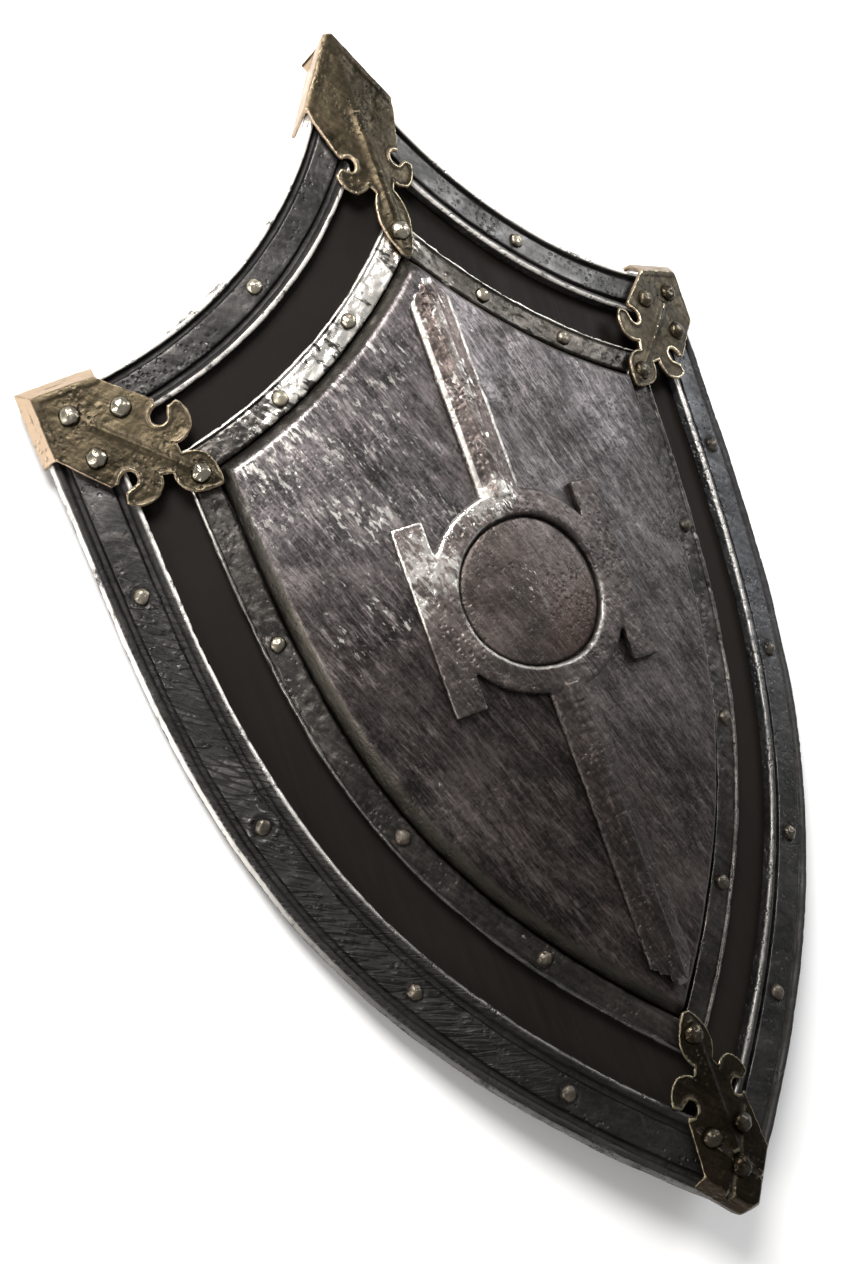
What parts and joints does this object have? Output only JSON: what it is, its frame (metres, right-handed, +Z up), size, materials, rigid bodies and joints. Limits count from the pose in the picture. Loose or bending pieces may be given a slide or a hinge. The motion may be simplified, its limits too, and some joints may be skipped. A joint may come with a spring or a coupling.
{
  "type": "heater shield",
  "caption": "Heater shield with a keeled, gently bent face, riveted iron bands, a raised plate with a ring cross, and brass corner caps.",
  "frame": {"origin": "on the ground below the middle of the shield, which lies on its back", "axes": "+Y runs along the keel towards the peak, +X to the right as seen from the front, +Z up out of the face"},
  "size_m": [0.4692, 0.7258, 0.085],
  "materials": {
    "board": "dark stained board, smooth and matte",
    "centre_plate": "dark blackened iron, brushed and pitted, with bright worn patches",
    "ring_cross": "blackened iron with bright worn edges and pitting",
    "outer_band": "blackened iron, cross-hatched and scratched, bright rolled rim",
    "inner_band": "blackened iron, chipped to bright metal along its edges",
    "corner_cap": "dark aged brass with bright worn edges",
    "cap_rivet": "worn brass",
    "band_rivet": "worn iron, rubbed bright"
  },
  "bodies": {
    "root": {"board": "board", "centre_plate": "centre_plate", "ring_cross": "ring_cross", "boss_disc": "centre_plate", "outer_band_side_right": "outer_band", "outer_band_side_left": "outer_band", "outer_band_top_right": "outer_band", "outer_band_top_left": "outer_band", "inner_band_side_right": "inner_band", "inner_band_side_left": "inner_band", "inner_band_top_right": "inner_band", "inner_band_top_left": "inner_band", "cap_top": "corner_cap", "rivet_cap_top_1": "cap_rivet", "cap_right": "corner_cap", "rivet_cap_right_1": "cap_rivet", "rivet_cap_right_2": "cap_rivet", "rivet_cap_right_3": "cap_rivet", "rivet_cap_right_4": "cap_rivet", "cap_left": "corner_cap", "rivet_cap_left_1": "cap_rivet", "rivet_cap_left_2": "cap_rivet", "rivet_cap_left_3": "cap_rivet", "rivet_cap_left_4": "cap_rivet", "cap_bottom": "corner_cap", "rivet_cap_bottom_1": "cap_rivet", "rivet_cap_bottom_2": "cap_rivet", "rivet_cap_bottom_3": "cap_rivet", "rivet_cap_bottom_4": "cap_rivet", "rivet_outer_side_right_1": "band_rivet", "rivet_outer_side_left_1": "band_rivet", "rivet_outer_side_right_2": "band_rivet", "rivet_outer_side_left_2": "band_rivet", "rivet_outer_side_right_3": "band_rivet", "rivet_outer_side_left_3": "band_rivet", "rivet_outer_side_right_4": "band_rivet", "rivet_outer_side_left_4": "band_rivet", "rivet_outer_top_right_1": "band_rivet", "rivet_outer_top_left_1": "band_rivet", "rivet_inner_side_right_1": "band_rivet", "rivet_inner_side_left_1": "band_rivet", "rivet_inner_side_right_2": "band_rivet", "rivet_inner_side_left_2": "band_rivet", "rivet_inner_side_right_3": "band_rivet", "rivet_inner_side_left_3": "band_rivet", "rivet_inner_top_right_1": "band_rivet", "rivet_inner_top_left_1": "band_rivet", "rivet_inner_top_right_2": "band_rivet", "rivet_inner_top_left_2": "band_rivet"}
  },
  "joints": []
}
